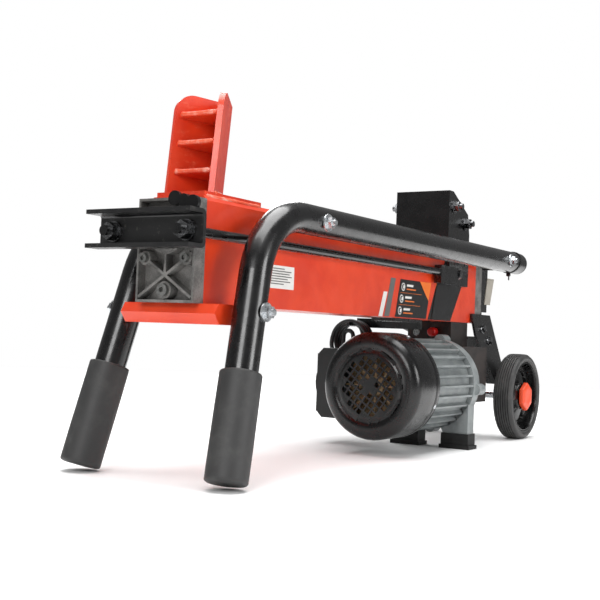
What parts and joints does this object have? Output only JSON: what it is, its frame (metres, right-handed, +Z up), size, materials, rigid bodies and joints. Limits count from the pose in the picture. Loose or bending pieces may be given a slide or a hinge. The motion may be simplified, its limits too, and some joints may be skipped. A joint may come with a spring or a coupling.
{
  "type": "log splitter",
  "caption": "Electric hydraulic log splitter: beam with cylinder, V wedge, pusher pulled by tie rods, bent tube frame, motor with pump, switch box and transport wheels.",
  "frame": {"origin": "on the floor, half way along the machine and on its middle plane", "axes": "+X from the wedge to the wheels, -Y the motor side, +Z up"},
  "size_m": [0.998, 0.2623, 0.4543],
  "materials": {
    "red_paint": "glossy powder coat",
    "black_paint": "glossy powder coat",
    "cap_grey": "die cast, satin",
    "motor_grey": "cast and painted, satin",
    "zinc": "zinc plated",
    "ground_steel": "ground and hard chromed",
    "dark_steel": "oiled",
    "sleeve_rubber": "matt",
    "pad_rubber": "matt",
    "tyre_rubber": "matt",
    "black_plastic": "fine texture",
    "fan_cover_black": "glossy",
    "orange_plastic": "moulded",
    "red_plastic": "moulded",
    "green_plastic": "moulded",
    "cable_pvc": "satin",
    "copper_stack": "laminated"
  },
  "bodies": {
    "frame": {"beam_housing": "red_paint", "front_end_cap": "cap_grey", "rear_end_cap": "cap_grey", "front_cap_screws": "zinc", "rod_gland": "cap_grey", "cylinder_tube": "dark_steel", "wedge": "red_paint", "wedge_base": "red_paint", "side_tube_left": "black_paint", "side_tube_right": "black_paint", "foot_sleeves": "sleeve_rubber", "tube_end_plugs": "black_plastic", "cross_bracket": "red_paint", "tube_fasteners": "zinc", "rear_bracket": "black_paint", "wheel_bracket": "black_paint", "axle": "zinc", "fan_cover": "fan_cover_black", "motor_stator": "copper_stack", "motor_housing": "motor_grey", "motor_bearings": "ground_steel", "motor_front_shield": "motor_grey", "motor_rear_shield": "motor_grey", "motor_foot": "motor_grey", "foot_pads": "pad_rubber", "pump_body": "cap_grey", "relief_valve_cap": "red_plastic", "switch_box": "black_plastic", "switch_lid": "black_plastic", "cable_gland": "black_plastic", "cord_hook": "black_paint", "cord_lead": "cable_pvc", "cord_coil": "cable_pvc", "cord_plug": "cable_pvc"},
    "ram": {"crosspiece": "black_paint", "tie_rods": "black_paint", "tie_rod_fasteners": "zinc", "piston_rod": "ground_steel", "piston": "dark_steel", "piston_seals": "pad_rubber", "pusher_face": "black_paint", "pusher_cheeks": "black_paint", "pusher_slide_pad": "black_plastic", "pusher_fasteners": "zinc"},
    "wheel_left": {"tyre_left": "tyre_rubber", "wheel_hub_left": "black_plastic", "hub_cap_left": "orange_plastic"},
    "wheel_right": {"tyre_right": "tyre_rubber", "wheel_hub_right": "black_plastic", "hub_cap_right": "orange_plastic"},
    "rotor": {"motor_rotor": "dark_steel", "motor_fan": "black_plastic", "pump_drive_gear": "dark_steel"},
    "driven_gear": {"pump_driven_gear": "dark_steel"},
    "lever": {"control_lever": "black_paint", "lever_knob": "black_plastic"},
    "spool": {"valve_spool": "ground_steel"},
    "start_button_body": {"start_button": "green_plastic"},
    "stop_button_body": {"stop_button": "red_plastic"},
    "bleed_screw_body": {"bleed_screw": "black_plastic"}
  },
  "joints": [
    {"name": "ram_slide", "type": "slide", "parent": "frame", "child": "ram", "axis": [-1, 0, 0], "range_m": [0, 0.46], "stiffness_N_per_m": 600, "springref_m": -0.05},
    {"name": "wheel_left_spin", "type": "hinge", "parent": "frame", "child": "wheel_left", "pos_m": [0.424, 0.1, 0.075], "axis": [0, 1, 0], "continuous": true},
    {"name": "wheel_right_spin", "type": "hinge", "parent": "frame", "child": "wheel_right", "pos_m": [0.424, -0.1, 0.075], "axis": [0, 1, 0], "continuous": true},
    {"name": "rotor_spin", "type": "hinge", "parent": "frame", "child": "rotor", "pos_m": [0.123, -0.053, 0.1], "axis": [1, 0, 0], "continuous": true},
    {"name": "driven_gear_spin", "type": "hinge", "parent": "frame", "child": "driven_gear", "pos_m": [0.229, -0.053, 0.1244], "axis": [1, 0, 0], "continuous": true},
    {"name": "lever_pull", "type": "hinge", "parent": "frame", "child": "lever", "pos_m": [0.321, 0.05, 0.172], "axis": [0, 1, 0], "range_deg": [0, 25], "stiffness_Nm_per_rad": 1.2, "springref_deg": -5.73},
    {"name": "spool_slide", "type": "slide", "parent": "frame", "child": "spool", "axis": [1, 0, 0], "range_m": [0, 0.006]},
    {"name": "start_press", "type": "slide", "parent": "frame", "child": "start_button_body", "axis": [0, -1, 0], "range_m": [0, 0.004], "stiffness_N_per_m": 400, "springref_m": -0.001},
    {"name": "stop_press", "type": "slide", "parent": "frame", "child": "stop_button_body", "axis": [0, -1, 0], "range_m": [0, 0.004], "stiffness_N_per_m": 400, "springref_m": -0.001},
    {"name": "bleed_turn", "type": "hinge", "parent": "frame", "child": "bleed_screw_body", "pos_m": [-0.451, -0.031, 0.316], "axis": [1, 0, 0], "range_deg": [0, 360]}
  ],
  "couplings": [
    {"joint": "driven_gear_spin", "follows": "rotor_spin", "ratio": -1},
    {"joint": "spool_slide", "follows": "lever_pull", "m_per_rad": 0.012}
  ]
}
